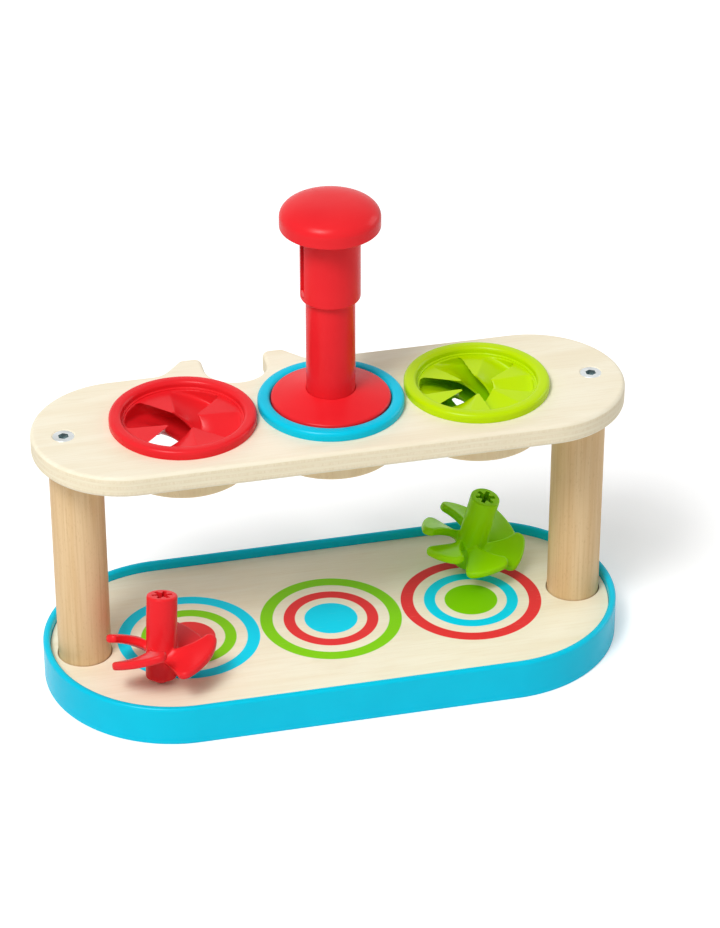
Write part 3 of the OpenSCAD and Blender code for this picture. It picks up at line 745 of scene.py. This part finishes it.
def toothOutline(teeth):  # plan of one tooth, which points from the cup's wall to its middle
    wall, fillet, steps = cup["wallIn"], cup["fillet"], cup["filletSteps"]
    point = Vector((cup["tip"], cup["tipWide"] / 2))
    root = Vector((wall, cup["share"] * math.pi * wall / teeth))
    along = (root - point).normalized()
    across = Vector((-along.y, along.x))
    start = point + across * fillet
    slope = start.dot(along)
    run = -slope + math.sqrt(slope * slope - start.dot(start) + (wall - fillet) ** 2)
    centre = start + along * run
    first = point + along * run - centre
    last = centre * wall / (wall - fillet) - centre
    sweep = first.angle(last)
    bend = [centre + Matrix.Rotation(sweep * k / steps, 2) @ first for k in range(steps + 1)]
    if (bend[-1] - centre - last).length > 0.1 * mm:  # the fillet bends the other way
        bend = [centre + Matrix.Rotation(-sweep * k / steps, 2) @ first for k in range(steps + 1)]
    end = math.degrees(math.atan2(bend[-1].y, bend[-1].x))
    back = arc((0, 0), (wall + cup["recess"]) / 2, end, -end, 2 * steps)
    side = [point] + bend
    return side + back + [Vector((p.x, -p.y)) for p in reversed(side)]


def makeCup(name, node, teeth, turned, slot, finish):
    size = span(node)
    at = size["at"]
    outer, high, low, recess = size["half"].x, size["high"], size["low"], cup["recess"]
    floorZ = high - cup["floorDown"]
    stepZ, stepFoot, stepIn = floorZ + cup["stepHigh"], floorZ - cup["stepDeep"], recess - cup["stepWide"]
    sleeveIn, ringOut = recess - cup["overlap"], recess - 2 * cup["overlap"]
    depth = floorZ - low - cup["foot"]
    twist = fullTurn * depth / cup["lead"]
    lip = lathe(name, [
        (outer, lipBase, cup["edge"]), (outer, high, cup["lipRound"]), (recess, high, cup["lipRound"]),
        (recess, stepZ, cup["edge"]), (stepIn, stepZ, cup["edge"]), (stepIn, stepFoot), (sleeveIn, stepFoot),
        (sleeveIn, low, cup["fineEdge"]), (cup["body"], low, cup["fineEdge"]), (cup["body"], lipBase)],
        at=at.xy)
    body = lathe("toothRing", [
        (cup["wallIn"], low), (ringOut, low), (ringOut, floorZ), (cup["wallIn"], floorZ)],
        at=at.xy, steps=cup["ringSteps"])
    axis = Vector((at.x, at.y, 0))
    tooth = drawFace("tooth", [axis + Vector((p.x, p.y, floorZ)) for p in toothOutline(teeth)])
    turnPicked(math.radians(turned), axis)
    for _ in range(cup["steps"]):
        bpy.ops.mesh.extrude_region_move(TRANSFORM_OT_translate={"value": (0, 0, -depth / cup["steps"])})
        turnPicked(-twist / cup["steps"], axis)
    pickAll()
    for _ in range(teeth - 1):
        bpy.ops.mesh.duplicate()
        turnPicked(fullTurn / teeth, axis)
    closeSkin()
    closeEdit()
    joinPieces(body, tooth)
    fuse(body, cup["voxel"], cup["smooth"], cup["keep"])
    joinPieces(lip, body)
    dress(lip, "stand", slot, finish, node, angle=40, flatFaces=False)


makeCup("redCup", "red_cup", teeth=4, turned=22, slot="red_plastic", finish=redPlastic)
makeCup("blueCup", "blue_cup", slot="blue_plastic", finish=bluePlastic, **blueSlots)
makeCup("greenCup", "green_cup", teeth=6, turned=20, slot="green_plastic", finish=greenPlastic)
print("cups made")


# tops: a stem on a round tip, fins that climb like a screw, and a star socket

top = {"high": 49.2 * mm, "stem": 8.1 * mm, "tipHigh": 3.2 * mm, "tipRound": 5 * mm, "fin": 28.8 * mm,
       "finThick": 4.4 * mm, "finEdge": 1.5 * mm, "finMiddle": 19.3 * mm, "finShare": 0.76, "finRoot": 0.5,
       "finIn": 5.5 * mm, "corner": 5 * mm, "flare": 0.5, "flareWide": 3 * mm, "lead": 60 * mm,
       "socket": 3 * mm, "arms": 6, "arm": 5.4 * mm, "armWide": 2.2 * mm, "socketDeep": 11 * mm,
       "finEnd": 0.42, "finEdgeSteps": 4, "bendAlong": 1.3 * mm, "bendOut": 2 * mm, "tipEdge": 1.4 * mm,
       "mouthEdge": 0.9 * mm, "steps": 72, "voxel": 0.36 * mm, "smooth": 5, "keep": 0.45}
looseTops = (
    {"name": "red", "fins": 4, "turned": 14, "slot": "red_plastic", "finish": redPlastic},
    {"name": "green", "fins": 6, "turned": 13, "slot": "green_plastic", "finish": shadedGreenPlastic},
)
finTurn = math.hypot(fullTurn * top["fin"], top["lead"])  # length of one turn along a fin's outer edge


def finOutline(length):  # flat plan of a fin: along its outer edge, and outwards from the stem
    corner, past = top["corner"], top["finEnd"] * top["finThick"]
    low, high = -past, length + past
    shoulder = top["fin"] - corner
    rootEnd = high - (1 - top["finRoot"]) * length
    inner = [Vector((low, top["finIn"])), Vector((rootEnd, top["finIn"])), Vector((rootEnd, top["stem"]))]
    upper = arc((high - corner, shoulder), corner, 0, 90)
    return inner + upper + arc((low + corner, shoulder), corner, 90, 180)


def windFin(piece, foot):  # lays a flat fin along its screw line, thicker where it joins the stem
    for vertex in piece.data.vertices:
        along, out, lift = vertex.co
        slope = math.atan(top["lead"] / (fullTurn * out))
        near = min(1, max(0, 1 - (out - top["stem"]) / top["flareWide"]))
        lift *= 1 + top["flare"] * near * near
        angle = fullTurn * along / finTurn - lift * math.sin(slope) / out
        rise = top["lead"] * along / finTurn + lift * math.cos(slope)
        vertex.co = (out * math.cos(angle), out * math.sin(angle), foot + rise)


def finFoot(fins):  # height of a fin's lower end above the tip
    return top["finMiddle"] - top["lead"] * top["finShare"] / fins / 2


def makeTop(name, fins, turned):  # standing on its tip at the origin
    length = finTurn * top["finShare"] / fins
    half = top["finThick"] / 2
    cap = math.degrees(math.acos(1 - top["tipHigh"] / top["tipRound"]))
    tipArc = [(p.x, p.y) for p in arc((0, top["tipRound"]), top["tipRound"], -90, cap - 90)]
    stem = lathe(name, tipArc + [
        (top["stem"], top["tipHigh"], top["tipEdge"]), (top["stem"], top["high"], top["mouthEdge"]),
        (0, top["high"])], steps=top["steps"], ring=False)
    fin = plate("fin", finOutline(length), -half, half)
    softenPlate(fin, top["finEdge"], top["finEdgeSteps"])
    outwards = top["fin"] - top["stem"]
    for axis, start, reach, pitch in (
            (0, 0, length, top["bendAlong"]), (1, top["stem"], outwards, top["bendOut"])):
        count = round(reach / pitch)
        for i in range(count):  # enough faces to bend
            where = start + reach * i / count
            cutAcross((where, where, 0), (1 - axis, axis, 0))
    closeEdit()
    windFin(fin, finFoot(fins))
    openEdit(fin)
    pickAll()
    turnPicked(math.radians(turned), (0, 0, 0))
    for _ in range(fins - 1):
        bpy.ops.mesh.duplicate()
        turnPicked(fullTurn / fins, (0, 0, 0))
    closeSkin()
    closeEdit()
    joinPieces(stem, fin)
    fuse(stem, top["voxel"], top["smooth"], top["keep"])
    star = []
    inner = math.degrees(math.asin(top["armWide"] / 2 / top["socket"]))
    pitch = 360 / top["arms"]
    for i in range(top["arms"]):
        for y in (-1, 1):
            armEnd = Vector((top["arm"], y * top["armWide"] / 2))
            star.append(Matrix.Rotation(math.radians(pitch * i), 2) @ armEnd)
        star += arc((0, 0), top["socket"], pitch * i + inner, pitch * (i + 1) - inner, 4)
    combine(stem, plate("star", star, top["high"] - top["socketDeep"], top["high"] + mm), "DIFFERENCE")
    return stem


def placeTop(piece, ball, axis):  # ball is the middle of the rounded tip
    leaning = up.rotation_difference(axis).to_matrix().to_4x4()
    piece.matrix_world = Matrix.Translation(ball) @ leaning @ Matrix.Translation((0, 0, -top["tipRound"]))
    activate(piece)
    bpy.ops.object.transform_apply()


spins = {joint["name"]: joint for joint in frame["joints"]}
for kind in looseTops:
    node = kind["name"] + "_top"
    spin = spins[node + "_spin"]
    looseTop = makeTop(kind["name"] + "Top", kind["fins"], kind["turned"])
    placeTop(looseTop, Vector(spin["pos_m"]), Vector(spin["axis"]))
    dress(looseTop, node, kind["slot"], kind["finish"], node, angle=40, flatFaces=False)
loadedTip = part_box("blue_top")[0].z  # the loaded top has its fins midway between the cup's teeth
fins = blueSlots["teeth"]
intoSlots = 360 * (span("blue_cup")["high"] - cup["floorDown"] - loadedTip - finFoot(fins)) / top["lead"]
blueTop = makeTop("blueTop", fins, blueSlots["turned"] + 180 / fins - intoSlots)
placeTop(blueTop, Vector((0, 0, loadedTip + top["tipRound"])), up)
dress(blueTop, "loaded_top", "blue_plastic", bluePlastic, "blue_top", angle=40, flatFaces=False)
print("tops made")


# launcher: flange, tube, sleeve and knob

launcher = {"flangeEdge": 4.6 * mm, "flangeRise": 4.9 * mm, "flangeWall": 2.2 * mm, "step": 2 * mm,
            "stemBore": 9.4 * mm, "tubeBore": 10.2 * mm, "seatUp": 32 * mm, "gap": 0.05 * mm,
            "slide": 0.25 * mm, "sleeveRound": 1.5 * mm, "slotWide": 4.5 * mm, "slotLong": 34.5 * mm,
            "slotUp": 2.6 * mm, "slotTurn": 10, "slotRound": 0.4, "slotSteps": 6, "through": 40 * mm,
            "pinSteps": 32, "knobSide": 5 * mm, "domeFull": 2.4, "domeThick": 3.6 * mm, "knobWall": 2.4 * mm,
            "rod": 5.05 * mm, "boss": 7.1 * mm, "bossLong": 7 * mm, "collar": 2.6 * mm, "edge": 0.4 * mm,
            "fineEdge": 0.3 * mm, "seatEdge": 0.5 * mm, "mouthEdge": 0.6 * mm, "knobInEdge": 0.8 * mm,
            "knobEdge": 0.9 * mm, "flangeRound": 1.6 * mm}


def makeFlange():
    size, tube = span("launcher_flange"), span("launcher_tube")
    outer, low, wall = size["half"].x, size["low"], launcher["flangeWall"]
    seat, bore, edge = tube["half"].x + launcher["gap"], launcher["stemBore"], launcher["edge"]
    shoulder, skirt, step = seat + wall, outer - wall, low + launcher["step"]

    def cone(r):  # height of the upper face
        return low + launcher["flangeEdge"] + launcher["flangeRise"] * (outer - r) / (outer - seat)
    piece = lathe("launcherFlange", [
        (bore, low, edge), (shoulder, low, edge), (shoulder, cone(shoulder) - wall, mm),
        (skirt, cone(skirt) - wall, mm), (skirt, low, edge), (outer, low, edge),
        (outer, low + launcher["flangeEdge"], launcher["flangeRound"]),
        (seat, cone(seat), launcher["seatEdge"]), (seat, step), (bore, step)])
    dress(piece, "launcher", "red_plastic", redPlastic, "launcher_flange")


def makeTube():
    size = span("launcher_tube")
    outer, low, high = size["half"].x, size["low"], size["high"]
    seat, edge = low + launcher["seatUp"], launcher["fineEdge"]
    piece = lathe("launcherTube", [
        (launcher["stemBore"], low, edge), (outer, low, edge), (outer, high, launcher["mouthEdge"]),
        (launcher["tubeBore"], high, edge), (launcher["tubeBore"], seat), (launcher["stemBore"], seat)])
    pins = span("guide_pins")
    deselect()
    bpy.ops.mesh.primitive_cylinder_add(
        vertices=launcher["pinSteps"], radius=pins["half"].z + launcher["gap"], depth=launcher["through"],
        location=(0, 0, pins["at"].z), rotation=(0, math.pi / 2, math.radians(launcher["slotTurn"])))
    combine(piece, bpy.context.active_object, "DIFFERENCE")
    dress(piece, "launcher", "red_plastic", redPlastic, "launcher_tube")


def makeSleeve():
    size, tube = span("knob_sleeve"), span("launcher_tube")
    outer, low, high = size["half"].x, size["low"], size["high"]
    inner = tube["half"].x + launcher["slide"]
    piece = lathe("knobSleeve", [
        (inner, low, launcher["edge"]), (outer, low, launcher["sleeveRound"]),
        (outer, high, launcher["fineEdge"]), (inner, high, launcher["fineEdge"])])
    deselect()
    middle = low + launcher["slotUp"] + launcher["slotLong"] / 2
    bpy.ops.mesh.primitive_cube_add(size=1, location=(0, 0, middle))
    slots = bpy.context.active_object
    slots.scale = (launcher["through"], launcher["slotWide"], launcher["slotLong"])
    bpy.ops.object.transform_apply()
    openEdit(slots)
    pick("EDGE", lambda e: abs(e.verts[0].co.x - e.verts[1].co.x) > mm)
    bpy.ops.mesh.bevel(
        offset=launcher["slotWide"] * launcher["slotRound"], segments=launcher["slotSteps"], affect="EDGES")
    pickAll()
    turnPicked(math.radians(launcher["slotTurn"]), (0, 0, middle))
    closeEdit()
    combine(piece, slots, "DIFFERENCE")
    dress(piece, "plunger", "red_plastic", redPlastic, "knob_sleeve")


def makeKnob():
    size, sleeve = span("knob_cap"), span("knob_sleeve")
    outer, low, high = size["half"].x, size["low"], size["high"]
    side = low + launcher["knobSide"]
    ceiling = high - launcher["domeThick"]
    rod, boss, bossEnd = launcher["rod"], launcher["boss"], ceiling - launcher["bossLong"]
    collarIn = sleeve["half"].x + launcher["gap"]
    collarOut = collarIn + launcher["collar"]
    wall, edge, power = launcher["knobWall"], launcher["edge"], 2 / launcher["domeFull"]

    def domePoint(angle):  # on a superellipse over the knob's side
        a = math.radians(angle)
        return outer * math.cos(a) ** power, side + (high - side) * math.sin(a) ** power
    dome = [domePoint(angle) for angle in range(2, 89, 3)]
    piece = lathe("knobCap", [
        (0, ceiling), (rod, ceiling), (rod, bossEnd), (boss, bossEnd), (boss, ceiling), (collarIn, ceiling),
        (collarIn, low, edge), (collarOut, low, edge), (collarOut, side + wall), (outer - wall, side, mm),
        (outer - wall, low, launcher["knobInEdge"]), (outer, low, launcher["knobEdge"]), (outer, side)]
        + dome + [(0, high)], ring=False)
    dress(piece, "plunger", "red_plastic", redPlastic, "knob_cap")


makeFlange()
makeTube()
makeSleeve()
makeKnob()
print("launcher made")


# return spring: a round wire wound up on its seat

spring = {"wire": 0.7 * mm, "turns": 13, "around": 24, "sides": 12, "travel": 30 * mm, "nearEnd": 2 * mm}


def makeSpring():
    size = span("return_spring")
    radius = size["half"].x - spring["wire"]
    low, high = size["low"] + spring["wire"], size["high"] - spring["wire"]
    deselect()
    bpy.ops.mesh.primitive_circle_add(
        vertices=spring["sides"], radius=spring["wire"], location=(radius, 0, low),
        rotation=(math.pi / 2, 0, 0))
    piece = bpy.context.active_object
    piece.name = piece.data.name = "returnSpring"
    bpy.ops.object.transform_apply()
    wind = piece.modifiers.new("wind", "SCREW")
    wind.axis = "Z"
    wind.angle = fullTurn
    wind.screw_offset = (high - low) / spring["turns"]
    wind.iterations = spring["turns"]
    wind.steps = wind.render_steps = spring["around"]
    bpy.ops.object.modifier_apply(modifier=wind.name)
    openEdit(piece)
    for level in (low, high):
        pick("EDGE", lambda e: e.is_boundary and abs(e.verts[0].co.z - level) < spring["nearEnd"])
        bpy.ops.mesh.edge_face_add()
    closeSkin()
    closeEdit()
    dress(piece, "launcher", "steel", steel, "return_spring")
    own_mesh(piece)


makeSpring()
print("return spring made")


# CAD nodes that stay take their finishes

kept = {
    "base_board": boardPly, "base_panel": printedBoard, "board_screws": steel, "base_bolts": steel,
    "leg_inserts": brass, "guide_pins": redPlastic, "spring_seat": steel, "push_rod": whitePlastic,
    "thrust_washer": steel, "star_chuck": whitePlastic,
}
for nodeName, finish in kept.items():
    nodes[nodeName].data.materials.clear()
    nodes[nodeName].data.materials.append(finish)
print("kept parts dressed")

deselect()
